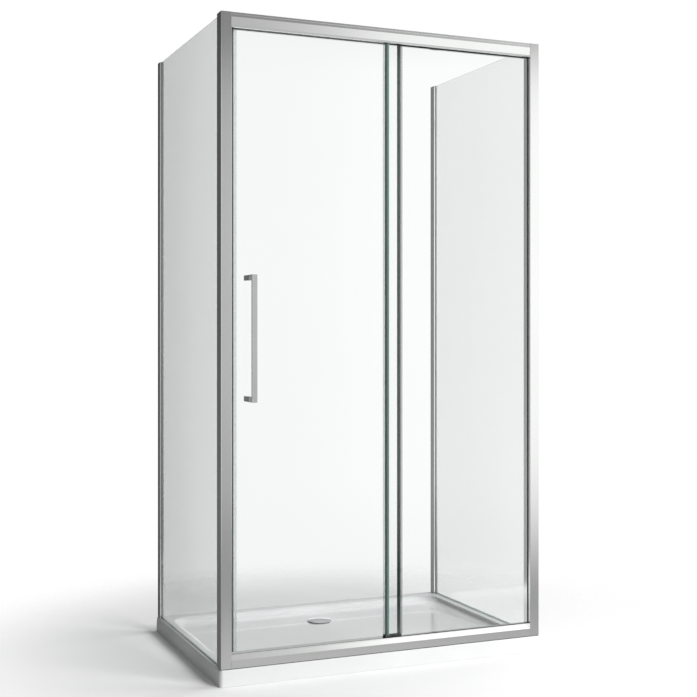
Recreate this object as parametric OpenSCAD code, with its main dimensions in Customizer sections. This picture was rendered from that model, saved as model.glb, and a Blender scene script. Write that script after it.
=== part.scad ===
// Sliding-door shower enclosure with three glass sides, standing on its shower tray.
// The origin is the middle of the tray's underside. X runs along the wall, to the right as seen
// from the room, Y runs from the room towards the wall, and Z is up. Lengths are millimetres.

/* [Tray] */
// Width of the tray along the wall
tray_w = 1100; // [900:10:1600]
// Depth of the tray, from the room side to the wall
tray_d = 760; // [700:10:1000]
// Height of the tray's rim above the floor
tray_h = 50; // [44:1:90]
// How much wider the tray is at the floor than at the rim, on each open side
tray_draft = 2; // [0:0.5:6]
// Radius of the tray's two vertical corners on the room side
tray_corner_r = 9; // [6:1:30]
// Rounding of the rim's outer edge
tray_edge_r = 4; // [2:0.5:6]
// Width of the rim under the front frame
rim_front = 57; // [54:1:90]
// Width of the rim under each side panel
rim_side = 41; // [38:1:80]
// Width of the rim along the wall
rim_back = 40; // [34:1:80]
// Radius of the basin's corners at the rim
basin_corner_r = 72; // [50:1:120]
// Horizontal run of the basin's curved wall
basin_wall_run = 30; // [15:1:45]
// Height of the basin floor above the room's floor, at the basin's edge
basin_floor_z = 29; // [26:0.5:34]
// Height of the valley that runs through the waste
valley_z = 20; // [19:0.5:24]
// Distance of the waste's centre from the wall
waste_to_wall = 168; // [140:1:260]

/* [Waste] */
// Radius of the domed cover
cover_r = 42; // [34:0.5:50]
// Rise of the dome
cover_rise = 5; // [3:0.5:9]
// Thickness of the dome's metal
cover_t = 2; // [1.5:0.1:3]
// Radius of the waste's flange
flange_r = 40; // [36:0.5:46]
// Thickness of the flange
flange_t = 2.5; // [2:0.1:4]
// Outer radius of the threaded waste body
waste_r = 28; // [25:0.5:30]
// Radius of the throat that holds the strainer
throat_r = 24; // [22:0.5:26]
// Radius of the socket for the trap's inlet
outlet_r = 20; // [16:0.5:21]
// Length of the socket for the trap's inlet
outlet_l = 11; // [9:0.5:13]
// Height of the pocket under the tray round the waste
pocket_h = 9; // [8:0.5:12]

/* [Frame] */
// Height of the frame above the tray's rim
frame_h = 1950; // [1700:10:2100]
// Distance of the frame from the tray's open sides
side_inset = 5; // [4:0.5:12]
// Distance of the frame from the tray's front
front_inset = 4; // [4:0.5:12]
// Width of a front post along the wall
post_w = 33; // [30:0.5:45]
// Depth of a front post and of the rails between the posts
post_d = 44; // [43.5:0.5:50]
// Wall thickness of the extrusions
wall_t = 1.6; // [1.2:0.1:2]
// Rounding of the posts' outer edges
post_edge_r = 1.5; // [0.8:0.1:2]
// Height of the top rail
top_rail_h = 44; // [43:0.5:55]
// Height of the top rail's upper band, which is set back a little
band_h = 14; // [12:0.5:16]
// Set-back of that upper band
band_step = 1.5; // [0.8:0.1:1.8]
// Angle by which the lower band leans back towards its lower edge
band_lean = 8; // [4:1:9]
// Height of the bottom rail
bottom_rail_h = 39; // [36:0.5:46]
// Height of the bottom rail's upright front face
bottom_face_h = 24; // [22.5:0.5:27]
// Thickness of the strip that beds the frame on the tray
sill_t = 2; // [1:0.1:3]
// Thickness of the caps on the posts and wall profiles
cap_t = 2; // [1.5:0.1:3]

/* [Wall profiles] */
// Width of a wall profile along the wall
profile_w = 19; // [18.5:0.5:26]
// Depth of a wall profile
profile_d = 30; // [24:0.5:40]
// How far a wall profile stays below the top of the frame
profile_drop = 5; // [3:0.5:10]
// Radius of the holes for the screws into the wall
wall_hole_r = 2.5; // [2:0.1:3]
// Distance of the outermost wall screws from a profile's ends
wall_hole_end = 98; // [60:1:200]

/* [Glass] */
// Thickness of all the panes
glass_t = 6; // [5:0.5:6.5]
// Thickness of the gaskets on each face of a pane
gasket_t = 1.5; // [1:0.1:2]
// Distance of the side panes from the posts' outer faces
side_pane_u = 6.5; // [6:0.1:8]
// Distance of the fixed pane from the frame's front
pane_v = 13; // [13:0.1:14]
// Distance of the door's pane behind the fixed pane's back
pane_gap = 7; // [6.8:0.1:7.2]
// How far the panes overlap when the door is shut
overlap = 55; // [40:1:70]
// Distance of the overlap's middle to the right of the frame's middle
overlap_shift = 24.5; // [-40:0.5:40]

/* [Door] */
// How far the door slides open
door_travel = 400; // [300:10:420]
// Gap between the bottom rail and the door's pane
door_lift = 3.5; // [3:0.1:5]
// Distance of a hanger from the pane's end
hanger_inset = 90; // [60:1:130]
// Running radius of a roller
roller_r = 10; // [9:0.1:10.5]
// Radius of a roller's rims
roller_rim_r = 11.5; // [11:0.1:12]
// Width of a roller
roller_w = 5.6; // [5:0.1:5.8]
// Distance of each roller's axle from the hanger's bolt
roller_out = 20; // [19:0.5:26]

/* [Handle] */
// Length of the handle's bar
handle_l = 382; // [250:1:500]
// Width of the handle's bar
handle_w = 16; // [12:0.5:22]
// Thickness of the handle's bar
handle_t = 12; // [8:0.5:14]
// Distance from the pane to the handle's front
handle_out = 40; // [38:0.5:55]
// Depth of the knobs on the cabin's side
knob_out = 40; // [20:0.5:45]
// Height of the handle's middle above the tray's rim
handle_z = 981; // [850:1:1100]
// Distance of the handle's middle from the left post
handle_x = 68; // [50:1:110]

/* [Hidden] */
$fn = 48;

// Overrun of every cut, and the height of the thin slices that a hull joins
overrun = 1;
slice = 0.1;
// Gap between pieces that move past each other, and between a shaft and its bore
move_gap = 0.3;
shaft_gap = 0.05;

// The frame's outer and inner faces, its front, and its bottom and top
x_out = tray_w / 2 - side_inset;
x_in = x_out - post_w;
y_front = -tray_d / 2 + front_inset;
y_wall = tray_d / 2;
z_sill = tray_h + sill_t;
z_top = tray_h + frame_h;
z_under_top_rail = z_top - top_rail_h;
z_over_bottom_rail = z_sill + bottom_rail_h;

// Distances behind the frame's front. lip_v is the front wall of the fixed pane's channel
lip_v = pane_v - gasket_t;
rib_v = pane_v + glass_t + gasket_t;
channel_w = rib_v - lip_v;
door_v = pane_v + glass_t + pane_gap;
door_back_v = door_v + glass_t;

// The fixed pane's channels: its depth in the rails and in the right post
bottom_channel = 10.4;
rear_slope_run = 7.5;
rear_slope_rise = 11;
top_channel = 28;
post_channel = 12;
// The fixed pane's edges
fixed_x0 = overlap_shift - overlap / 2;
fixed_x1 = x_in + post_channel - gasket_t;
fixed_z0 = z_over_bottom_rail - bottom_channel + gasket_t;
fixed_z1 = z_under_top_rail + top_channel - 2 * gasket_t;

// The strike on the left post and the seal on the door's closing edge
strike_w = 8;
strike_root = 6;
strike_nose = 6;
magnet_w = 5;
magnet_t = 2.4;
closing_nose = 5.6;
seal_t = 1.2;
seal_grip = 10;
fin_reach = pane_gap - 2 * move_gap;
fixed_fin_out = 5;
door_fin_out = 4;

// The door's pane
door_x0 = -x_in + strike_nose + move_gap + closing_nose + seal_t;
door_x1 = overlap_shift + overlap / 2;
door_z0 = z_over_bottom_rail + door_lift;
pane_drop = 10;
door_z1 = z_top - pane_drop;

// Hangers: washers on both faces of the door's pane, then the carriage's plate and the rollers
washer_t = 0.8;
plate_t = 1.8;
roller_gap = 0.4;
plate_v = door_back_v + washer_t;
roller_v = plate_v + plate_t + roller_gap;
track_v = roller_v + roller_w / 2;
plate_h = 16;
plate_end = 3;
plate_half = roller_out + roller_rim_r + plate_end;
bolt_r = 4;
bolt_head_r = 9;
bolt_head_t = 2;
hanger_hole_r = 6;
hanger_washer_r = 8;
hanger_nut_r = 7;
hanger_nut_t = 3;
bolt_out = 1;
axle_r = 2;
axle_head_r = 3.2;
axle_head_t = 0.9;
bearing_r = 6;
hanger_xs = [door_x0 + hanger_inset, door_x1 - hanger_inset];

// The track in the top rail
bead_r = 1.2;
bead_rise = 3.4;
track_in = 3.8;
bead_top = wall_t + bead_rise;
axle_z = z_under_top_rail + bead_top + roller_r;
lift_gap = 1.5;

// Screw ports in the rails, and the screws through the posts into them
port_r = 4.4;
screw_r = 2;
screw_port_r = screw_r + shaft_gap;
screw_hole_r = screw_r + move_gap;
screw_head_r = 3.8;
screw_head_t = 2.2;
screw_l = 22;
port_bite = 0.2;
port_room = 3;
port_drop = 2;
port_v = wall_t + port_r - port_bite;
bottom_ports = [port_v, wall_t + 3 * port_r + port_room];
top_ports = [top_rail_h - band_h - wall_t - port_r - port_drop, top_rail_h - port_v];

// Inside a post: the open chamber behind the cover, then the side pane's slot
chamber_d = 26;
ledge = 1.4;
ledge_d = 2;
snap_gap = 0.2;
slot_u = side_pane_u - gasket_t;
slot_w = glass_t + 2 * gasket_t;
slot_v = chamber_d + wall_t;
side_pane_y0 = y_front + slot_v + gasket_t;
profile_y = y_wall - profile_d;
profile_back = 2;
screw_room = 5;
side_pane_y1 = y_wall - profile_back - screw_room - gasket_t;
gasket_lip = 0.8;

// Seal strips under the side panes
sill_seal_t = 3;
sill_seal_h = 6;
side_pane_z0 = tray_h + sill_seal_t;
side_pane_z1 = z_top - profile_drop;

// The basin and the waste in it
basin_x = tray_w / 2 - rim_side;
basin_y0 = -tray_d / 2 + rim_front;
basin_y1 = tray_d / 2 - rim_back;
waste_y = tray_d / 2 - waste_to_wall;
flange_seal_t = 0.5;
recess_z = valley_z - flange_t - flange_seal_t;
recess_gap = 0.5;
hole_gap = 1;
nut_seal_t = 2;
waste_bottom = 1;
shoulder_z = waste_bottom + outlet_l;

silver = [0.72, 0.73, 0.74];
chrome = [0.82, 0.83, 0.85];
steel = [0.6, 0.61, 0.62];
milky = [0.9, 0.9, 0.88];
glass_tint = [0.62, 0.80, 0.77, 0.45];
clear_grey = [0.72, 0.74, 0.74, 0.8];
black = [0.07, 0.07, 0.08];

// Places a left-hand piece, or its mirror image on the right
module on_side(side) {
    mirror([side == "right" ? 1 : 0, 0, 0]) children();
}

// Stands a section, drawn from the frame's front left corner, upright between two heights
module upright(z0, z1) {
    translate([-x_out, y_front, z0]) linear_extrude(height = z1 - z0) children();
}

// Lays a section, drawn from the frame's front in depth and height, along X between two places
module along_x(x0, x1, z = 0) {
    translate([x0, y_front, z]) rotate([90, 0, 90])
        linear_extrude(height = x1 - x0) children();
}

// A straight round rod along Y, from one distance behind the frame's front to another
module rod_y(x, z, r, v0, v1) {
    translate([x, y_front + v0, z]) rotate([-90, 0, 0]) cylinder(r = r, h = v1 - v0);
}

module rounded_square(size, r) {
    translate([r, 0]) square([size.x - 2 * r, size.y]);
    translate([0, r]) square([size.x, size.y - 2 * r]);
    for (x = [r, size.x - r], y = [r, size.y - r]) translate([x, y]) circle(r = r);
}

// Tray

module tray_front_corner(side) {
    place = [side * (tray_w / 2 - tray_corner_r - tray_draft),
             -tray_d / 2 + tray_corner_r + tray_draft, 0];
    translate(place) {
        cylinder(r1 = tray_corner_r + tray_draft, r2 = tray_corner_r, h = tray_h - tray_edge_r, $fn = 32);
        for (a = [30:30:90])
            translate([0, 0, tray_h - tray_edge_r])
                cylinder(r = tray_corner_r - tray_edge_r * (1 - cos(a)),
                         h = tray_edge_r * sin(a), $fn = 32);
    }
}

module tray_outside() {
    side_top = tray_w / 2 - tray_draft;
    hull() {
        for (side = [-1, 1]) tray_front_corner(side);
        translate([0, tray_d / 2, 0]) rotate([90, 0, 0])
            linear_extrude(height = overrun) polygon([
                [-tray_w / 2, 0], [tray_w / 2, 0], [side_top, tray_h - tray_edge_r],
                [side_top - tray_edge_r, tray_h], [tray_edge_r - side_top, tray_h],
                [-side_top, tray_h - tray_edge_r]
            ]);
    }
}

// One level of the basin: the rim's outline drawn in by an inset
module basin_level(inset, z) {
    r = basin_corner_r - inset;
    for (x = [-1, 1], y = [basin_y0 + basin_corner_r, basin_y1 - basin_corner_r])
        translate([x * (basin_x - basin_corner_r), y, z]) cylinder(r = r, h = slice, $fn = 32);
}

// The walls curve down to the floor, and the floor falls from all round to the valley
module basin() {
    depth = tray_h - basin_floor_z;
    valley_x = basin_x - basin_wall_run - basin_wall_run / 2;
    hull() {
        for (a = [0:15:90])
            basin_level(basin_wall_run * (1 - cos(a)), tray_h - depth * sin(a));
        basin_level(0, tray_h + overrun);
        translate([-valley_x, waste_y, valley_z]) cube([2 * valley_x, slice, slice]);
    }
}

module shower_tray() {
    pocket_room = 7;
    color("white") difference() {
        tray_outside();
        basin();
        translate([0, waste_y, recess_z]) cylinder(r = flange_r + recess_gap, h = tray_h);
        translate([0, waste_y, -overrun]) cylinder(r = waste_r + hole_gap, h = tray_h);
        translate([0, waste_y, -overrun])
            cylinder(r = flange_r + pocket_room, h = pocket_h + overrun);
    }
}

// Waste

module waste_ring(points) {
    translate([0, waste_y, 0]) rotate_extrude() polygon(points);
}

module waste_body() {
    flange_z = valley_z - flange_t;
    bevel = 0.6;
    color(chrome) waste_ring([
        [outlet_r, waste_bottom], [waste_r, waste_bottom], [waste_r, flange_z],
        [flange_r, flange_z], [flange_r, valley_z - bevel], [flange_r - bevel, valley_z],
        [throat_r, valley_z], [throat_r, shoulder_z], [outlet_r, shoulder_z]
    ]);
}

module waste_seals() {
    seal_in = 1;
    top_r0 = waste_r + hole_gap + move_gap;
    top_r1 = flange_r - seal_in;
    low_r0 = waste_r + move_gap;
    low_r1 = top_r1 - seal_in;
    color(black) {
        waste_ring([
            [top_r0, recess_z], [top_r1, recess_z],
            [top_r1, valley_z - flange_t], [top_r0, valley_z - flange_t]
        ]);
        waste_ring([
            [low_r0, pocket_h - nut_seal_t], [low_r1, pocket_h - nut_seal_t],
            [low_r1, pocket_h], [low_r0, pocket_h]
        ]);
    }
}

module waste_nut() {
    nut_r = flange_r + hole_gap;
    grip_r = 3.5;
    grip_out = 1.2;
    grips = 10;
    color(milky) translate([0, waste_y, waste_bottom]) difference() {
        cylinder(r = nut_r, h = pocket_h - nut_seal_t - waste_bottom);
        translate([0, 0, -overrun]) cylinder(r = waste_r + shaft_gap, h = pocket_h + overrun);
        for (i = [0:grips - 1])
            rotate([0, 0, i * 360 / grips]) translate([nut_r + grip_out, 0, -overrun])
                cylinder(r = grip_r, h = pocket_h + overrun);
    }
}

hub_r = 7;
stem_r = 4;
strainer_t = 2;
hub_z = 19;
cover_lift = 4;

module waste_strainer() {
    z0 = shoulder_z + move_gap;
    hole_r = 2.4;
    holes = 8;
    rim_hole_r = 2;
    rim_holes = 12;
    rim_hole_in = 4.5;
    color(milky) translate([0, waste_y, 0]) difference() {
        union() {
            translate([0, 0, z0]) cylinder(r = throat_r - move_gap, h = strainer_t);
            translate([0, 0, z0]) cylinder(r = hub_r, h = hub_z - z0);
        }
        translate([0, 0, z0 + strainer_t]) cylinder(r = stem_r + move_gap, h = hub_z);
        for (i = [0:holes - 1])
            rotate([0, 0, i * 360 / holes]) translate([(hub_r + throat_r) / 2 - hole_r, 0, 0])
                cylinder(r = hole_r, h = hub_z);
        for (i = [0:rim_holes - 1])
            rotate([0, 0, i * 360 / rim_holes]) translate([throat_r - rim_hole_in, 0, 0])
                cylinder(r = rim_hole_r, h = hub_z);
    }
}

// The domed cover: an arc through the edge and the crown, and a stem into the strainer's hub
module waste_cover() {
    edge_z = valley_z + cover_lift;
    edge_t = 1.2;
    edge_in = 1;
    steps = 8;
    crown = [for (i = [0:steps]) let (s = i / steps)
        [cover_r * s, edge_z + edge_t + (cover_rise - edge_t) * (1 - s * s)]];
    inner = [for (i = [steps:-1:0]) let (s = i / steps)
        [(cover_r - edge_in) * s, edge_z + (cover_rise - cover_t) * (1 - s * s)]];
    stem_z = shoulder_z + 2 * move_gap + strainer_t;
    color(chrome) {
        waste_ring(concat(crown, inner));
        translate([0, waste_y, stem_z])
            cylinder(r = stem_r, h = edge_z + cover_rise - cover_t / 2 - stem_z);
    }
}

// Posts

// A post's extrusion, from its outer face inwards and from its front back. The chamber is open
// to the outside for the screws, and a channel in the inner face takes a pane or the strike.
module post_section(channel_v, channel_width, channel_depth) {
    difference() {
        union() {
            difference() {
                rounded_square([post_w, post_d], post_edge_r);
                translate([-overrun, wall_t])
                    square([post_w - wall_t + overrun, chamber_d - wall_t]);
                translate([slot_u + slot_w + wall_t, slot_v])
                    square([post_w - slot_u - slot_w - 2 * wall_t, post_d - slot_v - wall_t]);
            }
            for (v = [wall_t, chamber_d - ledge_d]) translate([wall_t, v]) square([ledge, ledge_d]);
            translate([post_w - channel_depth - wall_t, channel_v - wall_t])
                square([channel_depth + wall_t, channel_width + 2 * wall_t]);
        }
        translate([slot_u, slot_v]) square([slot_w, post_d]);
        translate([post_w - channel_depth, channel_v])
            square([channel_depth + overrun, channel_width]);
    }
}

module post(channel_v, channel_width, channel_depth) {
    color(silver) difference() {
        upright(z_sill, z_top - cap_t) post_section(channel_v, channel_width, channel_depth);
        for (z = port_heights()) translate([-x_in - 2 * wall_t, y_front + port_v, z])
            rotate([0, 90, 0]) cylinder(r = screw_hole_r, h = 3 * wall_t);
    }
}

function port_heights() = concat(
    [for (b = bottom_ports) z_sill + b], [for (b = top_ports) z_under_top_rail + b]);

strike_v = door_v + (glass_t - strike_w) / 2;

module left_post() {
    post(strike_v, strike_w, strike_root);
}

module right_post() {
    on_side("right") post(lip_v, channel_w, post_channel);
}

// The strip that snaps over a post's open chamber and hides the screws
module post_cover(side) {
    leg_t = 1.2;
    leg_l = 4;
    v0 = wall_t + snap_gap;
    v1 = chamber_d - snap_gap;
    leg_v = wall_t + ledge_d + snap_gap;
    color(silver) on_side(side) upright(z_sill, z_top - cap_t) {
        translate([0, v0]) square([wall_t, v1 - v0]);
        for (v = [leg_v, chamber_d + wall_t - leg_v - leg_t])
            translate([wall_t, v]) square([leg_l, leg_t]);
    }
}

// A post's cap, with two pegs into the open parts of the extrusion
module post_cap(side) {
    peg_l = 6;
    peg_w = 8;
    color(silver) on_side(side) {
        upright(z_top - cap_t, z_top) rounded_square([post_w, post_d], post_edge_r);
        upright(z_top - cap_t - peg_l, z_top - cap_t) {
            translate([peg_w, wall_t]) square([peg_w, port_r]);
            translate([slot_u + slot_w + wall_t, post_d - wall_t - port_r])
                square([peg_w, port_r]);
        }
    }
}

module corner_screws() {
    color(chrome) for (side = ["left", "right"], z = port_heights())
        on_side(side) translate([-x_in - wall_t, y_front + port_v, z]) rotate([0, 90, 0]) {
            cylinder(r = screw_r, h = screw_l);
            translate([0, 0, -screw_head_t]) cylinder(r = screw_head_r, h = screw_head_t);
        }
}

// Rails

// A screw port's ring: its wall and its hole
module port_walls(heights) {
    for (b = heights) translate([port_v, b]) circle(r = port_r);
}

module port_holes(heights) {
    for (b = heights) translate([port_v, b]) circle(r = screw_port_r);
}

// The top rail's lower band: it leans back from the step above it, then rounds under to the
// channel's lip. This is its outside, or its hollow when the wall is drawn in
module lower_band(wall) {
    band_b = top_rail_h - band_h;
    nose_v = lip_v - wall_t;
    nose_r = (nose_v * cos(band_lean) - band_b * sin(band_lean)) / (1 - sin(band_lean));
    polygon([
        [wall / cos(band_lean), band_b],
        [nose_v - (nose_r - wall) * cos(band_lean), nose_r - (nose_r - wall) * sin(band_lean)],
        [nose_v, nose_r], [nose_v, band_b]
    ]);
    intersection() {
        translate([nose_v, nose_r]) circle(r = nose_r - wall);
        square([nose_v, nose_r]);
    }
}

// The top rail, from its front back and from its underside up
module top_rail_section() {
    band_b = top_rail_h - band_h;
    roller_top = bead_top + roller_r + roller_rim_r;
    difference() {
        union() {
            translate([band_step, band_b - wall_t]) square([wall_t, band_h + wall_t]);
            difference() {
                lower_band(0);
                difference() {
                    lower_band(wall_t);
                    translate([0, band_b - wall_t]) square([band_step + wall_t, wall_t]);
                }
            }
            translate([lip_v - wall_t, 0]) square([wall_t, top_channel]);
            translate([band_step, top_rail_h - wall_t]) square([post_d - band_step, wall_t]);
            translate([rib_v, 0]) square([wall_t, top_rail_h]);
            translate([post_d - wall_t, 0]) square([wall_t, top_rail_h]);
            translate([track_v - track_in, 0]) square([post_d - track_v + track_in, wall_t]);
            translate([track_v - bead_r, 0]) square([2 * bead_r, bead_top - bead_r]);
            translate([track_v, bead_top - bead_r]) circle(r = bead_r);
            translate([track_v - wall_t / 2, roller_top + lift_gap])
                square([wall_t, top_rail_h - roller_top - lift_gap]);
            port_walls(top_ports);
        }
        port_holes(top_ports);
    }
}

module top_rail() {
    color(silver) along_x(-x_in, x_in, z_under_top_rail) top_rail_section();
}

// The bottom rail's outside from its front back, or its hollow when the walls are drawn in
module bottom_rail_outline(wall) {
    top = bottom_rail_h;
    deck_v = post_d - rear_slope_run;
    front_pitch = (top - bottom_face_h) / lip_v;
    rear_pitch = rear_slope_rise / rear_slope_run;
    front_drop = wall * norm([1, front_pitch]);
    rear_drop = wall * norm([1, rear_pitch]);
    polygon([
        [wall, wall], [post_d - wall, wall],
        [post_d - wall, top - rear_slope_rise + wall * rear_pitch - rear_drop],
        [deck_v + (wall - rear_drop) / rear_pitch, top - wall],
        [lip_v + (front_drop - wall) / front_pitch, top - wall],
        [wall, bottom_face_h + wall * front_pitch - front_drop]
    ]);
}

// The bottom rail, from its front back and from its underside up
module bottom_rail_section() {
    channel_b = bottom_rail_h - bottom_channel;
    difference() {
        union() {
            difference() {
                bottom_rail_outline(0);
                bottom_rail_outline(wall_t);
            }
            translate([lip_v - wall_t, channel_b - wall_t])
                square([channel_w + 2 * wall_t, bottom_channel]);
            port_walls(bottom_ports);
        }
        translate([lip_v, channel_b]) square([channel_w, bottom_rail_h]);
        port_holes(bottom_ports);
    }
}

guide_x = overlap_shift;
guide_over = 4;
guide_l = overlap + guide_over;
guide_screw_share = 1 / 3;
guide_screw_xs = [for (s = [-1, 1]) guide_x + s * guide_l * guide_screw_share];
guide_screw_r = 1.6;
guide_base = 2.2;
guide_h = 8;

module bottom_rail() {
    color(silver) difference() {
        along_x(-x_in, x_in, z_sill) bottom_rail_section();
        for (x = guide_screw_xs)
            translate([x, y_front + door_v + glass_t / 2, z_over_bottom_rail - 2 * wall_t])
                cylinder(r = guide_screw_r + shaft_gap, h = 3 * wall_t);
    }
}

// The strip that closes the fixed pane's channel across the doorway
module threshold_infill() {
    leg_t = 1.2;
    leg_in = 1;
    plate = 1.4;
    color(silver) along_x(-x_in, fixed_x0, z_over_bottom_rail) {
        translate([lip_v, -plate]) square([channel_w, plate]);
        for (v = [lip_v + leg_in, rib_v - leg_in - leg_t])
            translate([v, -bottom_channel]) square([leg_t, bottom_channel]);
    }
}

// The black block that keeps the door's pane upright at the overlap
module bottom_guide() {
    cheek_t = 3.4;
    v0 = door_v - move_gap - cheek_t;
    v1 = door_back_v + move_gap;
    color(black) difference() {
        along_x(guide_x - guide_l / 2, guide_x + guide_l / 2, z_over_bottom_rail) {
            translate([v0, 0]) square([v1 + cheek_t - v0, guide_base]);
            for (v = [v0, v1]) translate([v, 0]) square([cheek_t, guide_h]);
        }
        for (x = guide_screw_xs) translate([x, y_front + door_v + glass_t / 2, 0]) {
            cylinder(r = guide_screw_r + shaft_gap, h = z_top);
            translate([0, 0, z_over_bottom_rail + guide_base - guide_screw_r])
                cylinder(r1 = guide_screw_r, r2 = 2 * guide_screw_r, h = guide_screw_r);
        }
    }
}

module guide_screws() {
    length = 8;
    color(chrome) for (x = guide_screw_xs)
        translate([x, y_front + door_v + glass_t / 2, z_over_bottom_rail + guide_base]) {
            translate([0, 0, -length]) cylinder(r = guide_screw_r, h = length);
            translate([0, 0, -guide_screw_r])
                cylinder(r1 = guide_screw_r, r2 = 2 * guide_screw_r - shaft_gap, h = guide_screw_r);
        }
}

// Rubber stops clamped on the track at both ends of the carriages' way
module door_stops() {
    stop_l = 12;
    stop_h = 18;
    touch = 0.5;
    x_left = hanger_xs[0] - plate_half - touch;
    x_right = hanger_xs[1] + plate_half + door_travel + touch;
    color(black) for (x = [x_left - stop_l, x_right])
        along_x(x, x + stop_l, z_under_top_rail + wall_t) difference() {
            translate([plate_v + move_gap, 0])
                square([post_d - wall_t - plate_v - move_gap, stop_h]);
            translate([0, -overrun]) square([track_v - track_in, overrun + wall_t]);
            translate([track_v - bead_r - shaft_gap, -overrun])
                square([2 * (bead_r + shaft_gap), bead_rise + overrun + shaft_gap]);
        }
}

// Fixed pane

module fixed_glass() {
    color(glass_tint) along_x(fixed_x0, fixed_x1)
        translate([pane_v, fixed_z0]) square([glass_t, fixed_z1 - fixed_z0]);
}

// A gasket's U section, as wide as its channel, open towards +Y, with its back at y = 0
module gasket_section(width, depth) {
    difference() {
        square([width, depth]);
        translate([gasket_t, gasket_t]) square([width - 2 * gasket_t, depth]);
    }
}

module fixed_glass_gaskets() {
    edge_x = x_in - gasket_lip;
    color(black) {
        along_x(fixed_x0, edge_x) translate([lip_v, fixed_z0 - gasket_t])
            gasket_section(channel_w, bottom_channel + gasket_lip);
        along_x(fixed_x0, edge_x) translate([lip_v, fixed_z1 + gasket_t]) mirror([0, 1])
            gasket_section(channel_w, fixed_z1 + gasket_t - z_under_top_rail + gasket_lip);
        translate([x_in + post_channel, y_front + lip_v, fixed_z0]) rotate([0, 0, 90])
            linear_extrude(height = fixed_z1 - fixed_z0)
                gasket_section(channel_w, post_channel + gasket_lip);
    }
}

// A clear seal on a pane's upright edge. It is drawn with the glass towards -X and its front
// face on y = 0. The fin reaches out and back to the other pane.
module edge_seal_section(reach, fin_out) {
    fin_t = 1;
    difference() {
        translate([-seal_grip, -seal_t]) square([seal_grip + seal_t, glass_t + 2 * seal_t]);
        translate([-seal_grip - overrun, 0]) square([seal_grip + overrun, glass_t]);
    }
    polygon([
        [0, glass_t + seal_t], [seal_t, glass_t], [fin_out, glass_t + reach - fin_t],
        [fin_out, glass_t + reach], [fin_out - fin_t, glass_t + reach]
    ]);
}

module fixed_edge_seal() {
    z0 = z_over_bottom_rail + guide_h + move_gap;
    color(clear_grey) translate([fixed_x0, y_front + pane_v, z0]) mirror([1, 0, 0])
        linear_extrude(height = z_under_top_rail - gasket_lip - move_gap - z0)
            edge_seal_section(fin_reach, fixed_fin_out);
}

// Strike on the left post

module closing_strike() {
    z0 = z_over_bottom_rail + move_gap;
    color(clear_grey) translate([-x_in, y_front + strike_v, z0])
        linear_extrude(height = z_under_top_rail - move_gap - z0) difference() {
            translate([snap_gap - strike_root, snap_gap / 2])
                square([strike_root + strike_nose - snap_gap, strike_w - snap_gap]);
            translate([strike_nose - magnet_t, (strike_w - magnet_w) / 2])
                square([magnet_t + overrun, magnet_w]);
        }
}

module strike_magnet() {
    z0 = z_over_bottom_rail + move_gap;
    color(black) translate([-x_in + strike_nose - magnet_t,
                            y_front + strike_v + (strike_w - magnet_w) / 2, z0])
        cube([magnet_t, magnet_w, z_under_top_rail - move_gap - z0]);
}

// Side panels

module side_glass(side) {
    color(glass_tint) on_side(side)
        translate([-x_out + side_pane_u, side_pane_y0, side_pane_z0])
            cube([glass_t, side_pane_y1 - side_pane_y0, side_pane_z1 - side_pane_z0]);
}

// The gaskets round a side pane's two upright edges
module side_gaskets(side) {
    front_depth = post_d - slot_v + gasket_lip;
    back_depth = side_pane_y1 + gasket_t - profile_y + gasket_lip;
    color(black) on_side(side) translate([-x_out + slot_u, 0, side_pane_z0]) {
        translate([0, y_front + slot_v, 0]) linear_extrude(height = side_pane_z1 - side_pane_z0)
            gasket_section(slot_w, front_depth);
        translate([0, side_pane_y1 + gasket_t, 0]) mirror([0, 1, 0])
            linear_extrude(height = side_pane_z1 - side_pane_z0)
                gasket_section(slot_w, back_depth);
    }
}

// The clear strip that seals a side pane to the rim
module sill_seal(side) {
    y0 = y_front + post_d + gasket_lip;
    length = profile_y - gasket_lip - y0;
    color(clear_grey) on_side(side)
        translate([-x_out + side_pane_u - seal_t, y0 + length, tray_h]) rotate([90, 0, 0])
            linear_extrude(height = length) difference() {
                square([glass_t + 2 * seal_t, sill_seal_h]);
                translate([seal_t, sill_seal_t]) square([glass_t, sill_seal_h]);
            }
}

// Wall profile

module wall_profile_section() {
    box_in = slot_u + slot_w;
    difference() {
        rounded_square([profile_w, profile_d], post_edge_r / 2);
        translate([slot_u, -overrun]) square([slot_w, profile_d - profile_back + overrun]);
        translate([box_in + wall_t, wall_t])
            square([profile_w - box_in - 2 * wall_t, profile_d - wall_t - profile_back]);
    }
}

wall_screw_zs = [z_sill + wall_hole_end, (z_sill + z_top - profile_drop) / 2,
                 z_top - profile_drop - wall_hole_end];

module wall_profile(side) {
    z1 = z_top - profile_drop - cap_t;
    color(silver) on_side(side) difference() {
        translate([-x_out, profile_y, z_sill]) linear_extrude(height = z1 - z_sill)
            wall_profile_section();
        for (z = wall_screw_zs)
            translate([-x_out + side_pane_u + glass_t / 2, y_wall - 2 * profile_back, z])
                rotate([-90, 0, 0]) cylinder(r = wall_hole_r, h = 3 * profile_back);
    }
}

module wall_cap(side) {
    z1 = z_top - profile_drop;
    color(silver) on_side(side) translate([-x_out, profile_y, z1 - cap_t]) difference() {
        linear_extrude(height = cap_t) rounded_square([profile_w, profile_d], post_edge_r / 2);
        translate([slot_u, -overrun, -overrun])
            cube([slot_w, profile_d - profile_back - screw_room + overrun, cap_t + 2 * overrun]);
    }
}

// The strip that beds the posts, the bottom rail and the wall profiles on the rim
module sill_gasket() {
    inset = 1.5;
    color(black) {
        translate([-x_out + inset, y_front + inset, tray_h])
            cube([2 * (x_out - inset), post_d - 2 * inset, sill_t]);
        for (side = ["left", "right"]) on_side(side)
            translate([-x_out + inset, profile_y + inset, tray_h])
                cube([profile_w - 2 * inset, profile_d - 2 * inset, sill_t]);
    }
}

// Door

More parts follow.
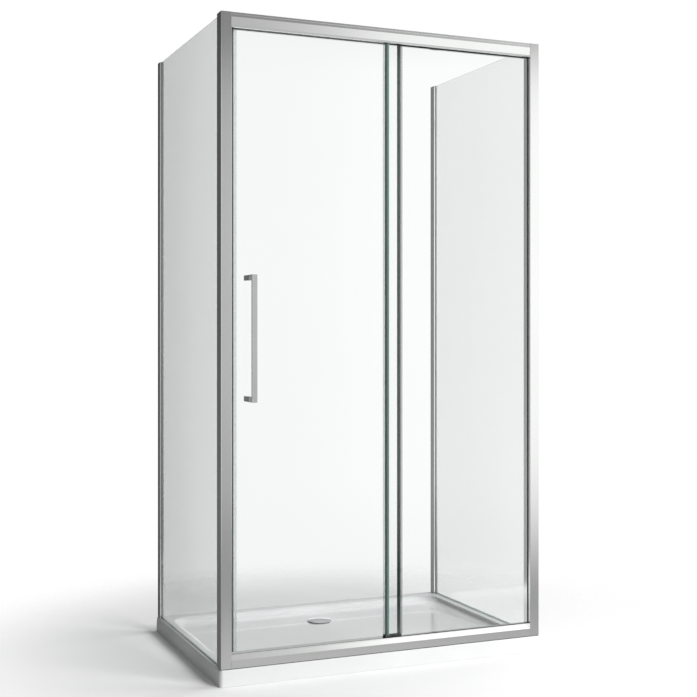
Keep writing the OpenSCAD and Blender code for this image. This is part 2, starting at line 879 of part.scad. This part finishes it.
handle_mid_x = -x_in + handle_x;
handle_mid_z = tray_h + handle_z;
handle_post_zs = [handle_mid_z - (handle_l - handle_w) / 2, handle_mid_z + (handle_l - handle_w) / 2];
handle_hole_r = 5;
stud_r = 3;
bush_t = 1;
stud_bite = 18;
bush_in = 0.5;
handle_edge_r = 1.2;

module door_glass() {
    color(glass_tint) difference() {
        along_x(door_x0, door_x1)
            translate([door_v, door_z0]) square([glass_t, door_z1 - door_z0]);
        for (x = hanger_xs)
            rod_y(x, axle_z, hanger_hole_r, door_v - overrun, door_back_v + overrun);
        for (z = handle_post_zs)
            rod_y(handle_mid_x, z, handle_hole_r, door_v - overrun, door_back_v + overrun);
    }
}

module door_edge_seal() {
    z0 = z_over_bottom_rail + guide_h + move_gap;
    color(clear_grey) translate([door_x1, y_front + door_back_v, z0]) mirror([0, 1, 0])
        linear_extrude(height = z_under_top_rail - gasket_lip - move_gap - z0)
            edge_seal_section(fin_reach, door_fin_out);
}

module door_closing_seal() {
    z0 = door_z0 + move_gap;
    color(clear_grey) translate([door_x0, y_front + door_v, z0])
        linear_extrude(height = z_under_top_rail - move_gap - z0) difference() {
            union() {
                translate([-seal_t, -seal_t]) square([seal_grip + seal_t, glass_t + 2 * seal_t]);
                translate([-seal_t - closing_nose, (glass_t - strike_w) / 2])
                    square([closing_nose + seal_t, strike_w]);
            }
            square([seal_grip + overrun, glass_t]);
            translate([-seal_t - closing_nose - overrun, (glass_t - magnet_w) / 2])
                square([magnet_t + overrun, magnet_w]);
        }
}

module door_magnet() {
    z0 = door_z0 + move_gap;
    color(black) translate([door_x0 - seal_t - closing_nose,
                            y_front + door_v + (glass_t - magnet_w) / 2, z0])
        cube([magnet_t, magnet_w, z_under_top_rail - move_gap - z0]);
}

// Handle: the bar with its two posts, the knobs inside, the studs that join them through the
// pane, and the washers with their sleeves

module handle_bar() {
    bar_v = door_v - handle_out;
    color(chrome) difference() {
        union() {
            translate([handle_mid_x - handle_w / 2, y_front + bar_v, handle_mid_z - handle_l / 2])
                linear_extrude(height = handle_l) rounded_square([handle_w, handle_t], handle_edge_r);
            for (z = handle_post_zs)
                translate([handle_mid_x - handle_w / 2,
                           y_front + bar_v + handle_t - handle_edge_r, z - handle_w / 2])
                    cube([handle_w, handle_out - handle_t - bush_t + handle_edge_r, handle_w]);
        }
        for (z = handle_post_zs)
            rod_y(handle_mid_x, z, stud_r + shaft_gap, door_v - bush_t - stud_bite,
                  door_v + overrun);
    }
}

module handle_knobs() {
    color(chrome) for (z = handle_post_zs) difference() {
        translate([handle_mid_x - handle_w / 2, y_front + door_back_v + knob_out, z - handle_w / 2])
            rotate([90, 0, 0]) linear_extrude(height = knob_out - bush_t)
                rounded_square([handle_w, handle_w], handle_edge_r);
        rod_y(handle_mid_x, z, stud_r + shaft_gap, door_back_v,
              door_back_v + bush_t + stud_bite);
    }
}

module handle_studs() {
    end_gap = 1;
    color(chrome) for (z = handle_post_zs)
        rod_y(handle_mid_x, z, stud_r, door_v - bush_t - stud_bite + end_gap,
              door_back_v + bush_t + stud_bite - end_gap);
}

module handle_bushes() {
    sleeve_l = glass_t / 2 - shaft_gap;
    color(clear_grey) for (z = handle_post_zs) difference() {
        union() {
            rod_y(handle_mid_x, z, handle_w / 2 - bush_in, door_v - bush_t, door_v);
            rod_y(handle_mid_x, z, handle_hole_r - shaft_gap, door_v - bush_t, door_v + sleeve_l);
            rod_y(handle_mid_x, z, handle_w / 2 - bush_in, door_back_v, door_back_v + bush_t);
            rod_y(handle_mid_x, z, handle_hole_r - shaft_gap, door_back_v - sleeve_l,
                  door_back_v + bush_t);
        }
        rod_y(handle_mid_x, z, stud_r + shaft_gap, 0, post_d);
    }
}

// Hangers: a carriage of two rollers behind the pane, held by a bolt through the pane

module carriage(i) {
    x = hanger_xs[i];
    color(steel) difference() {
        union() {
            translate([x, y_front + plate_v, axle_z]) rotate([-90, 0, 0])
                linear_extrude(height = plate_t) {
                    square([2 * plate_half - plate_h, plate_h], center = true);
                    for (s = [-1, 1]) translate([s * (plate_half - plate_h / 2), 0])
                        circle(r = plate_h / 2);
                }
            for (s = [-1, 1]) {
                rod_y(x + s * roller_out, axle_z, axle_r, plate_v, roller_v + roller_w + roller_gap);
                rod_y(x + s * roller_out, axle_z, axle_head_r, roller_v + roller_w + roller_gap,
                      roller_v + roller_w + roller_gap + axle_head_t);
            }
        }
        rod_y(x, axle_z, bolt_r + shaft_gap, 0, post_d);
    }
}

module hanger_bolts() {
    bolt_end = plate_v + plate_t + hanger_nut_t + bolt_out;
    slot_t = 1.4;
    color(chrome) for (x = hanger_xs) difference() {
        union() {
            rod_y(x, axle_z, bolt_r, door_v - washer_t - bolt_head_t, bolt_end);
            rod_y(x, axle_z, bolt_head_r, door_v - washer_t - bolt_head_t, door_v - washer_t);
        }
        // Slot for a screwdriver
        translate([x, y_front + door_v - washer_t - bolt_head_t, axle_z])
            cube([bolt_head_r, bolt_head_t, slot_t], center = true);
    }
}

module hanger_bushes() {
    color(black) for (x = hanger_xs) difference() {
        union() {
            rod_y(x, axle_z, hanger_washer_r, door_v - washer_t, door_v);
            rod_y(x, axle_z, hanger_hole_r - shaft_gap, door_v - washer_t, door_back_v + washer_t);
            rod_y(x, axle_z, hanger_washer_r, door_back_v, door_back_v + washer_t);
        }
        rod_y(x, axle_z, bolt_r + shaft_gap, 0, post_d);
    }
}

module hanger_nuts() {
    color(chrome) for (x = hanger_xs) difference() {
        translate([x, y_front + plate_v + plate_t, axle_z]) rotate([-90, 0, 0])
            cylinder(r = hanger_nut_r, h = hanger_nut_t, $fn = 6);
        rod_y(x, axle_z, bolt_r + shaft_gap, 0, post_d);
    }
}

// Roller i of 4, counted from the left
function roller_x(i) = hanger_xs[floor(i / 2)] + (i % 2 == 0 ? -1 : 1) * roller_out;

module roller(i, points) {
    translate([roller_x(i), y_front + roller_v, axle_z]) rotate([-90, 0, 0])
        rotate_extrude() polygon(points);
}

// The nylon tyre, grooved to ride on the track's bead
module roller_tyre(i) {
    groove_room = 0.5;
    groove = bead_r + groove_room;
    mid = roller_w / 2;
    bevel = 0.4;
    color(milky) roller(i, [
        [bearing_r, 0], [roller_rim_r - bevel, 0], [roller_rim_r, bevel],
        [roller_rim_r, mid - groove - bevel], [roller_r - move_gap, mid - groove + bevel],
        [roller_r - move_gap, mid + groove - bevel], [roller_rim_r, mid + groove + bevel],
        [roller_rim_r, roller_w - bevel], [roller_rim_r - bevel, roller_w], [bearing_r, roller_w]
    ]);
}

// The steel bearing in a tyre, with its sunk shields
module roller_bearing(i) {
    race = 1.2;
    sunk = 0.5;
    color(chrome) roller(i, [
        [axle_r + shaft_gap, 0], [axle_r + race, 0], [axle_r + race, sunk],
        [bearing_r - race, sunk], [bearing_r - race, 0], [bearing_r, 0], [bearing_r, roller_w],
        [bearing_r - race, roller_w], [bearing_r - race, roller_w - sunk],
        [axle_r + race, roller_w - sunk], [axle_r + race, roller_w], [axle_r + shaft_gap, roller_w]
    ]);
}

shower_tray();
sill_gasket();
left_post();
right_post();
post_cover("left");  // left_post_cover
post_cover("right");  // right_post_cover
post_cap("left");  // left_post_cap
post_cap("right");  // right_post_cap
top_rail();
bottom_rail();
corner_screws();
threshold_infill();
fixed_glass();
fixed_glass_gaskets();
fixed_edge_seal();
closing_strike();
strike_magnet();
bottom_guide();
guide_screws();
door_stops();
side_glass("left");  // left_side_glass
side_glass("right");  // right_side_glass
side_gaskets("left");  // left_side_gaskets
side_gaskets("right");  // right_side_gaskets
sill_seal("left");  // left_sill_seal
sill_seal("right");  // right_sill_seal
wall_profile("left");  // left_wall_profile
wall_profile("right");  // right_wall_profile
wall_cap("left");  // left_wall_cap
wall_cap("right");  // right_wall_cap
waste_body();
waste_nut();
waste_seals();
waste_strainer();
waste_cover();
door_glass();
door_edge_seal();
door_closing_seal();
door_magnet();
handle_bar();
handle_knobs();
handle_studs();
handle_bushes();
carriage(0);  // left_carriage
carriage(1);  // right_carriage
hanger_bolts();
hanger_bushes();
hanger_nuts();
roller_tyre(0);  // roller_tyre_1
roller_tyre(1);  // roller_tyre_2
roller_tyre(2);  // roller_tyre_3
roller_tyre(3);  // roller_tyre_4
roller_bearing(0);  // roller_bearing_1
roller_bearing(1);  // roller_bearing_2
roller_bearing(2);  // roller_bearing_3
roller_bearing(3);  // roller_bearing_4
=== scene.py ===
"""Looks of the sliding-door shower enclosure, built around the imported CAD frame."""
import math

import bpy
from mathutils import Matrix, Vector

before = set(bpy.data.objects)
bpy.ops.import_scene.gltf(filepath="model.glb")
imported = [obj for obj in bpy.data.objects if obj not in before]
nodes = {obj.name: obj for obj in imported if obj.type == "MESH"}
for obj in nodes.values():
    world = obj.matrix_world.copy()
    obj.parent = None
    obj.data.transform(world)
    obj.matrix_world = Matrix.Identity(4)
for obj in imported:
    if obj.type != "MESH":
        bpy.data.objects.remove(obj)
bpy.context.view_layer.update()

# Camera: the photograph's own, solved from the corners of the enclosure and of the tray
CAMERA_PLACE = (-1.6154, -3.8691, 1.0451)
CAMERA_HEADING = math.radians(22.945)  # from +Y towards +X
FOCAL_PX = 1230.7
HORIZON_PX = 333.8
PICTURE_PX = 697.0
SENSOR_MM = 36.0
CLIP_NEAR = 0.05
CLIP_FAR = 200


def make_camera():
    data = bpy.data.cameras.new("photo_camera")
    data.sensor_width = SENSOR_MM
    data.lens = FOCAL_PX / PICTURE_PX * SENSOR_MM
    data.shift_y = (HORIZON_PX - PICTURE_PX / 2) / PICTURE_PX
    data.clip_start = CLIP_NEAR
    data.clip_end = CLIP_FAR
    cam = bpy.data.objects.new("photo_camera", data)
    cam.location = CAMERA_PLACE
    cam.rotation_euler = (math.pi / 2, 0, -CAMERA_HEADING)
    bpy.context.scene.collection.objects.link(cam)
    bpy.context.scene.camera = cam


make_camera()
bpy.context.scene.view_settings.view_transform = "Standard"

# Node helpers
MIX_A = 6  # the colour sockets of a Mix node
MIX_B = 7
MIX_RESULT = 2


class Tree:
    """A small helper around a node tree: t.new("TexNoise", Scale=5) and t.link(a, b)."""

    def __init__(self, tree):
        self.tree = tree
        tree.nodes.clear()

    def new(self, kind, **inputs):
        n = self.tree.nodes.new("ShaderNode" + kind)
        for key, value in inputs.items():
            n.inputs[key.replace("_", " ")].default_value = value
        return n

    def link(self, a, b):
        self.tree.links.new(a, b)

    def ramp(self, fac, stops):
        """A ramp through (place, grey) or (place, colour) stops."""
        n = self.new("ValToRGB")
        elements = n.color_ramp.elements
        while len(elements) < len(stops):
            elements.new(0.5)
        for element, (place, v) in zip(elements, stops):
            element.position = place
            element.color = (v, v, v, 1) if isinstance(v, float) else (*v, 1)
        self.link(fac, n.inputs["Fac"])
        return n.outputs["Color"]

    def between(self, fac, low, high):
        """Stretches 0 to 1 to the range from low to high."""
        n = self.new("MapRange", To_Min=low, To_Max=high)
        self.link(fac, n.inputs["Value"])
        return n.outputs["Result"]

    def step(self, value, start, end):
        """0 below start, 1 above end, and smooth in between."""
        n = self.new("MapRange", From_Min=start, From_Max=end)
        n.interpolation_type = "SMOOTHSTEP"
        self.link(value, n.inputs["Value"])
        return n.outputs["Result"]

    def math(self, operation, a, b=None):
        n = self.new("Math")
        n.operation = operation
        for socket, v in zip(n.inputs, (a, b)):
            if isinstance(v, (int, float)):
                socket.default_value = v
            elif v is not None:
                self.link(v, socket)
        return n.outputs[0]

    def mix(self, fac, a, b):
        """Colour a where fac is 0, and b where it is 1."""
        n = self.new("Mix")
        n.data_type = "RGBA"
        self.link(fac, n.inputs["Factor"])
        self.link(a, n.inputs[MIX_A])
        self.link(b, n.inputs[MIX_B])
        return n.outputs[MIX_RESULT]

    def times(self, a, b):
        n = self.new("Mix", Factor=1.0)
        n.data_type = "RGBA"
        n.blend_type = "MULTIPLY"
        self.link(a, n.inputs[MIX_A])
        self.link(b, n.inputs[MIX_B])
        return n.outputs[MIX_RESULT]

    def mix_shader(self, share, first, second):
        """Shader first where share is 0, and second where it is 1."""
        n = self.new("MixShader")
        self.link(share, n.inputs[0])
        self.link(first, n.inputs[1])
        self.link(second, n.inputs[2])
        return n.outputs[0]

    def xyz(self, vector):
        n = self.new("SeparateXYZ")
        self.link(vector, n.inputs[0])
        return n.outputs

    def noise(self, scale, stretch=(1, 1, 1), detail=3.0, rough=0.55):
        """Noise in object space: scale is in features a metre, and stretch multiplies it by axis."""
        co = self.new("TexCoord")
        m = self.new("Mapping", Scale=stretch)
        n = self.new("TexNoise", Scale=scale, Detail=detail, Roughness=rough)
        self.link(co.outputs["Object"], m.inputs["Vector"])
        self.link(m.outputs["Vector"], n.inputs["Vector"])
        return n.outputs["Fac"]

    def bump(self, height, distance, strength):
        n = self.new("Bump", Strength=strength, Distance=distance)
        self.link(height, n.inputs["Height"])
        return n.outputs["Normal"]

    def textured(self, colour, roughness, normal=None, **inputs):
        """A Principled shader whose colour, roughness and normal come from textures."""
        p = self.new("BsdfPrincipled", **inputs)
        self.link(colour, p.inputs["Base Color"])
        self.link(roughness, p.inputs["Roughness"])
        if normal:
            self.link(normal, p.inputs["Normal"])
        return p.outputs[0]


def material(name):
    m = bpy.data.materials.new(name)
    m.use_nodes = True
    t = Tree(m.node_tree)
    out = t.new("OutputMaterial")
    return m, t, out.inputs["Surface"]


# Materials


def aluminium(name, along):
    """Polished silver anodised extrusion: fine die lines along its length and a faint haze."""
    m, t, out = material(name)
    lines = t.noise(900, [0.004 if i == along else 1.0 for i in range(3)], detail=2)
    haze = t.noise(6, [0.4 if i == along else 1.0 for i in range(3)])
    rough = t.math("ADD", t.between(lines, -0.03, 0.03), t.between(haze, 0.11, 0.16))
    colour = t.ramp(haze, [(0.3, (0.80, 0.81, 0.80)), (0.7, (0.85, 0.86, 0.85))])
    t.link(t.textured(colour, rough, t.bump(lines, 0.00001, 0.5), Metallic=1.0), out)
    return m


def chrome(name, base, rough):
    """Chrome with faint wiping marks."""
    m, t, out = material(name)
    marks = t.noise(40, (1, 1, 0.3))
    colour = t.ramp(marks, [(0.2, (base - 0.03, base - 0.025, base - 0.01)),
                            (0.8, (base, base + 0.005, base + 0.02))])
    t.link(t.textured(colour, t.between(marks, rough * 0.6, rough * 1.8), Metallic=1.0), out)
    return m


def grained(name, grain, colours, rough, depth, strength, stretch=(1, 1, 1), **inputs):
    """A fine grain in the colour, in the roughness and as a bump of a given depth in metres."""
    m, t, out = material(name)
    fine = t.noise(grain, stretch, detail=2)
    t.link(t.textured(t.ramp(fine, colours), t.between(fine, *rough),
                      t.bump(fine, depth, strength), **inputs), out)
    return m


def steel(name):
    """Turned stainless steel."""
    return grained(name, 1500, [(0.3, (0.50, 0.50, 0.50)), (0.7, (0.62, 0.62, 0.61))], (0.22, 0.42),
                   0.00002, 0.5, stretch=(1, 0.1, 1), Metallic=1.0)


def rubber(name, level):
    return grained(name, 1200, [(0.2, (level, level, level)), (0.9, (level * 2, level * 2, level * 2.1))],
                   (0.45, 0.65), 0.00004, 0.4, Specular_IOR_Level=0.25)


def nylon(name):
    return grained(name, 600, [(0.2, (0.74, 0.74, 0.72)), (0.9, (0.80, 0.80, 0.78))], (0.38, 0.5),
                   0.00003, 0.3)


def acrylic(name):
    """The tray's white acrylic: deep gloss with a very faint unevenness."""
    m, t, out = material(name)
    cloud = t.noise(5, detail=2)
    colour = t.ramp(cloud, [(0.3, (0.83, 0.835, 0.84)), (0.7, (0.86, 0.862, 0.865))])
    waves = t.bump(t.noise(26, detail=1), 0.0002, 0.15)
    t.link(t.textured(colour, t.between(cloud, 0.14, 0.20), waves,
                      Coat_Weight=0.6, Coat_Roughness=0.03, IOR=1.49), out)
    return m


def film(t, out, cover, colour, lines):
    """Thin clear plastic with draw lines: cover is the share of it that shows the colour."""
    clear = t.new("BsdfTransparent", Color=(0.95, 0.965, 0.96, 1))
    plastic = t.textured(colour, t.between(lines, 0.12, 0.24), t.bump(lines, 0.00002, 0.3),
                         IOR=1.45, Specular_IOR_Level=0.25)
    t.link(t.mix_shader(cover, clear.outputs[0], plastic), out)


def clear_seal(name):
    """Clear PVC, hardly grey, with fine draw lines along Z."""
    m, t, out = material(name)
    lines = t.noise(1200, (1, 1, 0.001), detail=1)
    colour = t.ramp(lines, [(0.2, (0.50, 0.53, 0.52)), (0.8, (0.62, 0.65, 0.64))])
    film(t, out, t.between(lines, 0.10, 0.17), colour, lines)
    return m


def across_x(t, node, outward):
    """0 to 1 across a node's width in X, towards +X where outward is 1 and towards -X where -1."""
    xs = [c[0] for c in nodes[node].bound_box]
    ends = (min(xs), max(xs)) if outward > 0 else (max(xs), min(xs))
    co = t.new("TexCoord")
    n = t.new("MapRange", From_Min=ends[0], From_Max=ends[1])
    t.link(t.xyz(co.outputs["Object"])["X"], n.inputs["Value"])
    return n.outputs["Result"]


def zoned_seal(name, node, outward, colours, cover):
    """A seal on a pane's edge, whose colour and cover change from its grip's end outwards."""
    m, t, out = material(name)
    lines = t.noise(900, (1, 1, 0.001), detail=1)
    place = t.math("ADD", across_x(t, node, outward), t.between(lines, -0.008, 0.008))
    film(t, out, t.ramp(place, cover), t.ramp(place, colours), lines)
    return m


def pane(name, facing, edge_dark, edge_light):
    """Clear 6 mm glass: see-through faces and teal polished edges. facing is the pane's normal
    axis, so that the edges are the faces whose normal lies across it."""
    m, t, out = material(name)
    face = t.new("BsdfPrincipled", Roughness=0.0, IOR=1.46, Transmission_Weight=1.0)
    smear = t.noise(3, detail=2)
    t.link(t.ramp(smear, [(0.3, (0.948, 0.963, 0.959)), (0.7, (0.956, 0.970, 0.966))]),
           face.inputs["Base Color"])
    # Lamps and matt surfaces shine straight through the faces
    light = t.new("LightPath")
    through = t.new("BsdfTransparent", Color=(0.975, 0.982, 0.980, 1))
    unbent = t.math("MAXIMUM", light.outputs["Is Shadow Ray"], light.outputs["Is Diffuse Ray"])
    cut = t.noise(300, (1, 1, 0.05), detail=2)
    edge = t.textured(t.ramp(cut, [(0.25, edge_dark), (0.75, edge_light)]),
                      t.between(cut, 0.12, 0.25), Coat_Weight=0.5)
    co = t.new("TexCoord")
    is_edge = t.math("LESS_THAN", t.math("ABSOLUTE", t.xyz(co.outputs["Normal"])[facing]), 0.5)
    faces = t.mix_shader(unbent, face.outputs[0], through.outputs[0])
    t.link(t.mix_shader(is_edge, faces, edge), out)
    return m


UPRIGHT = aluminium("frame_upright", 2)
RAIL = aluminium("frame_rail", 0)
CHROME = chrome("bright_chrome", 0.82, 0.05)
HANDLE_CHROME = chrome("handle_chrome", 0.79, 0.08)
# The knobs are the bar's chrome, darkened: the dark reflections the knobs show are painted into their
# colour
KNOB_CHROME_PAINTED_DARK = chrome("knob_chrome_painted_reflection", 0.40, 0.08)
STEEL = steel("stainless_steel")
TRAY = acrylic("tray_acrylic")
BLACK = rubber("black_rubber", 0.006)
GUIDE = rubber("black_plastic", 0.005)
NYLON = nylon("white_nylon")
GASKET = rubber("grey_gasket", 0.12)
SEAL = clear_seal("clear_seal")
# Teal is the glass's edge seen through the grip, painted into the clear seal's colour; its darkest teal
# band is a painted dark reflection of that edge
FIXED_SEAL = zoned_seal("fixed_pane_seal", "fixed_edge_seal", -1,
                        [(0.0, (0.40, 0.46, 0.44)), (0.10, (0.16, 0.26, 0.23)),
                         (0.52, (0.11, 0.20, 0.17)), (0.60, (0.04, 0.08, 0.07)),
                         (0.69, (0.05, 0.08, 0.075)), (0.72, (0.45, 0.46, 0.46))],
                        [(0.0, 0.4), (0.08, 0.8), (0.69, 0.8), (0.72, 0.2)])
# The near-black band is the door pane's edge seen through the grip, painted in as a dark reflection; the
# grey bands are the seal's own colour
DOOR_SEAL = zoned_seal("door_pane_seal", "door_edge_seal", 1,
                       [(0.0, (0.14, 0.21, 0.19)), (0.06, (0.004, 0.010, 0.008)),
                        (0.46, (0.004, 0.009, 0.007)), (0.54, (0.14, 0.18, 0.17)),
                        (0.74, (0.18, 0.20, 0.20)), (0.78, (0.34, 0.35, 0.35))],
                       [(0.0, 0.5), (0.06, 0.96), (0.46, 0.96), (0.54, 0.6), (0.74, 0.5), (0.78, 0.3)])
CLOSING_SEAL = zoned_seal("closing_seal", "door_closing_seal", 1,
                          [(0.0, (0.06, 0.065, 0.065)), (0.30, (0.07, 0.075, 0.075)),
                           (0.36, (0.6, 0.63, 0.62))],
                          [(0.0, 0.9), (0.30, 0.9), (0.36, 0.10)])
FRONT_PANE = pane("front_glass", 1, (0.05, 0.12, 0.11), (0.10, 0.20, 0.185))
SIDE_PANE = pane("side_glass", 0, (0.16, 0.28, 0.26), (0.26, 0.38, 0.36))

LOOKS = {
    TRAY: ["shower_tray"],
    UPRIGHT: ["left_post", "right_post", "left_post_cover", "right_post_cover", "left_post_cap",
              "right_post_cap", "left_wall_profile", "right_wall_profile", "left_wall_cap",
              "right_wall_cap"],
    RAIL: ["top_rail", "bottom_rail", "threshold_infill"],
    FRONT_PANE: ["fixed_glass", "door_glass"],
    SIDE_PANE: ["left_side_glass", "right_side_glass"],
    SEAL: ["closing_strike", "left_sill_seal", "right_sill_seal", "handle_bushes"],
    CLOSING_SEAL: ["door_closing_seal"],
    FIXED_SEAL: ["fixed_edge_seal"],
    DOOR_SEAL: ["door_edge_seal"],
    GASKET: ["left_side_gaskets", "right_side_gaskets"],
    BLACK: ["sill_gasket", "fixed_glass_gaskets", "waste_seals", "door_stops", "hanger_bushes",
            "strike_magnet", "door_magnet"],
    GUIDE: ["bottom_guide"],
    CHROME: ["waste_body", "waste_cover"],
    HANDLE_CHROME: ["handle_bar"],
    KNOB_CHROME_PAINTED_DARK: ["handle_knobs"],
    STEEL: ["corner_screws", "guide_screws", "handle_studs", "left_carriage", "right_carriage",
            "hanger_bolts", "hanger_nuts", "roller_bearing_1", "roller_bearing_2",
            "roller_bearing_3", "roller_bearing_4"],
    NYLON: ["waste_nut", "waste_strainer", "roller_tyre_1", "roller_tyre_2", "roller_tyre_3",
            "roller_tyre_4"],
}


def dress(node, look):
    o = nodes[node]
    if o.material_slots:
        for slot in o.material_slots:
            slot.material = look
    else:
        o.data.materials.append(look)


for look, names in LOOKS.items():
    for name in names:
        dress(name, look)

# Stage and light
BACKGROUND = 1.0  # what the camera sees behind the object
MIRRORED = 1.5  # the brightest part of the mirrored room
AMBIENT = 0.8  # what lights the matt surfaces

# The mirrored room in front, by height (0 is straight down and 1 straight up): its dim middle
# and its bright sides. Both have a dim band a little below eye level and one above it
MIDDLE_BY_HEIGHT = [(0.0, 0.35), (0.35, 0.40), (0.376, 0.42), (0.392, 0.23), (0.41, 0.22),
                    (0.433, 0.30), (0.457, 0.34), (0.50, 0.38), (0.563, 0.385), (0.60, 0.35),
                    (0.617, 0.15), (0.68, 0.20), (0.78, 0.34), (0.88, 0.42), (0.913, 0.40),
                    (1.0, 0.65)]
SIDES_BY_HEIGHT = [(0.0, 0.5), (0.36, 0.45), (0.384, 0.32), (0.392, 0.12), (0.403, 0.16),
                   (0.415, 0.46), (0.44, 0.74), (0.50, 0.77), (0.605, 0.80), (0.617, 0.15),
                   (0.68, 0.2), (0.78, 0.6), (0.872, 0.95), (1.0, 0.8)]
# Where the middle turns into the sides, and a dip straight ahead (0 is ahead and 1 to a side)
SIDE_SHARE = [(0.31, 0.0), (0.34, 0.1), (0.367, 0.3), (0.392, 0.73), (0.42, 0.95), (0.45, 1.0)]
CENTRE_DIP = [(0.0, 0.75), (0.15, 0.7), (0.24, 0.6), (0.275, 1.0)]
# The mirrored room behind, from -X to +X and by height, with a dark strip left of its middle
BEHIND_ACROSS = [(0.0, 0.5), (0.22, 0.25), (0.245, 0.36), (0.262, 0.20), (0.30, 0.10),
                 (0.362, 0.12), (0.372, 0.02), (0.42, 0.02), (0.50, 0.30), (0.64, 0.60),
                 (1.0, 0.75)]
BEHIND_BY_HEIGHT = [(0.0, 1.0), (0.37, 1.0), (0.43, 0.95), (0.50, 0.70), (0.60, 0.60),
                    (0.64, 0.50), (0.76, 0.7), (1.0, 1.0)]
# Directions whose Y is between -TURN and TURN lie between the room in front and the one behind
TURN = 0.15
# The light on matt surfaces, from -X to +X
LIT_ACROSS = [(0.0, 0.03), (0.42, 0.2), (0.64, 0.5), (1.0, 0.5)]

FLOOR_RADIUS = 2.2
FLOOR_STEPS = 96
FLOOR_Z = -0.0005  # just below the tray
FLOOR_FADE = (0.6, 1.5)  # the floor is whole within the first radius and gone beyond the second
LAMP_TARGET = Vector((0, 0, 0.9))


def from_zero(t, value):
    """Turns -1 to 1 into 0 to 1."""
    return t.math("ADD", t.math("MULTIPLY", value, 0.5), 0.5)


def make_world():
    w = bpy.data.worlds.new("studio")
    bpy.context.scene.world = w
    w.use_nodes = True
    t = Tree(w.node_tree)
    out = t.new("OutputWorld")
    co = t.new("TexCoord")
    x, y, z = t.xyz(co.outputs["Generated"])
    aside = t.math("ABSOLUTE", x)
    across = from_zero(t, x)
    up = from_zero(t, z)
    ahead = t.times(t.mix(t.ramp(aside, SIDE_SHARE), t.ramp(up, MIDDLE_BY_HEIGHT),
                          t.ramp(up, SIDES_BY_HEIGHT)),
                    t.ramp(aside, CENTRE_DIP))
    behind = t.times(t.ramp(across, BEHIND_ACROSS), t.ramp(up, BEHIND_BY_HEIGHT))
    mirrored = t.new("Background", Strength=MIRRORED)
    t.link(t.mix(t.step(y, -TURN, TURN), ahead, behind), mirrored.inputs["Color"])
    ambient = t.new("Background", Strength=AMBIENT)
    t.link(t.ramp(across, LIT_ACROSS), ambient.inputs["Color"])
    plain = t.new("Background", Strength=BACKGROUND, Color=(1, 1, 1, 1))
    light = t.new("LightPath")
    straight = t.math("MAXIMUM", light.outputs["Is Camera Ray"], light.outputs["Is Transmission Ray"])
    # A path that was mirrored once stays so, also where it leaves through a pane
    was_mirrored = t.math("GREATER_THAN", light.outputs["Glossy Depth"], 0.5)
    unmirrored = t.mix_shader(straight, ambient.outputs[0], plain.outputs[0])
    t.link(t.mix_shader(was_mirrored, unmirrored, mirrored.outputs[0]), out.inputs["Surface"])


def make_floor():
    """A pale matt disc that fades into the background. Metal and glass don't mirror it."""
    turns = [2 * math.pi * i / FLOOR_STEPS for i in range(FLOOR_STEPS)]
    ring = [(FLOOR_RADIUS * math.cos(a), FLOOR_RADIUS * math.sin(a), FLOOR_Z) for a in turns]
    mesh = bpy.data.meshes.new("studio_floor")
    mesh.from_pydata(ring, [], [tuple(range(FLOOR_STEPS))])
    o = bpy.data.objects.new("studio_floor", mesh)
    o.visible_glossy = False
    bpy.context.scene.collection.objects.link(o)
    m, t, out = material("studio_floor")
    matt = t.new("BsdfDiffuse", Color=(0.92, 0.92, 0.92, 1))
    away = t.new("BsdfTransparent")
    co = t.new("TexCoord")
    distance = t.new("VectorMath")
    distance.operation = "LENGTH"
    t.link(co.outputs["Object"], distance.inputs[0])
    fade = t.step(distance.outputs["Value"], *FLOOR_FADE)
    t.link(t.mix_shader(fade, matt.outputs[0], away.outputs[0]), out)
    mesh.materials.append(m)


def make_lamp(name, place, size, watts):
    data = bpy.data.lights.new(name, "AREA")
    data.shape = "RECTANGLE"
    data.size, data.size_y = size
    data.energy = watts
    lamp = bpy.data.objects.new(name, data)
    lamp.location = place
    lamp.visible_glossy = False
    lamp.visible_transmission = False
    lamp.rotation_mode = "QUATERNION"
    lamp.rotation_quaternion = (LAMP_TARGET - Vector(place)).to_track_quat("-Z", "Y")
    bpy.context.scene.collection.objects.link(lamp)


make_world()
make_floor()
make_lamp("key", (1.6, -3.9, 2.9), (2.4, 2.4), 172)
make_lamp("fill", (-3.4, -2.6, 2.6), (2.2, 2.6), 5)
make_lamp("top", (2.4, -0.4, 3.9), (2.4, 2.4), 90)
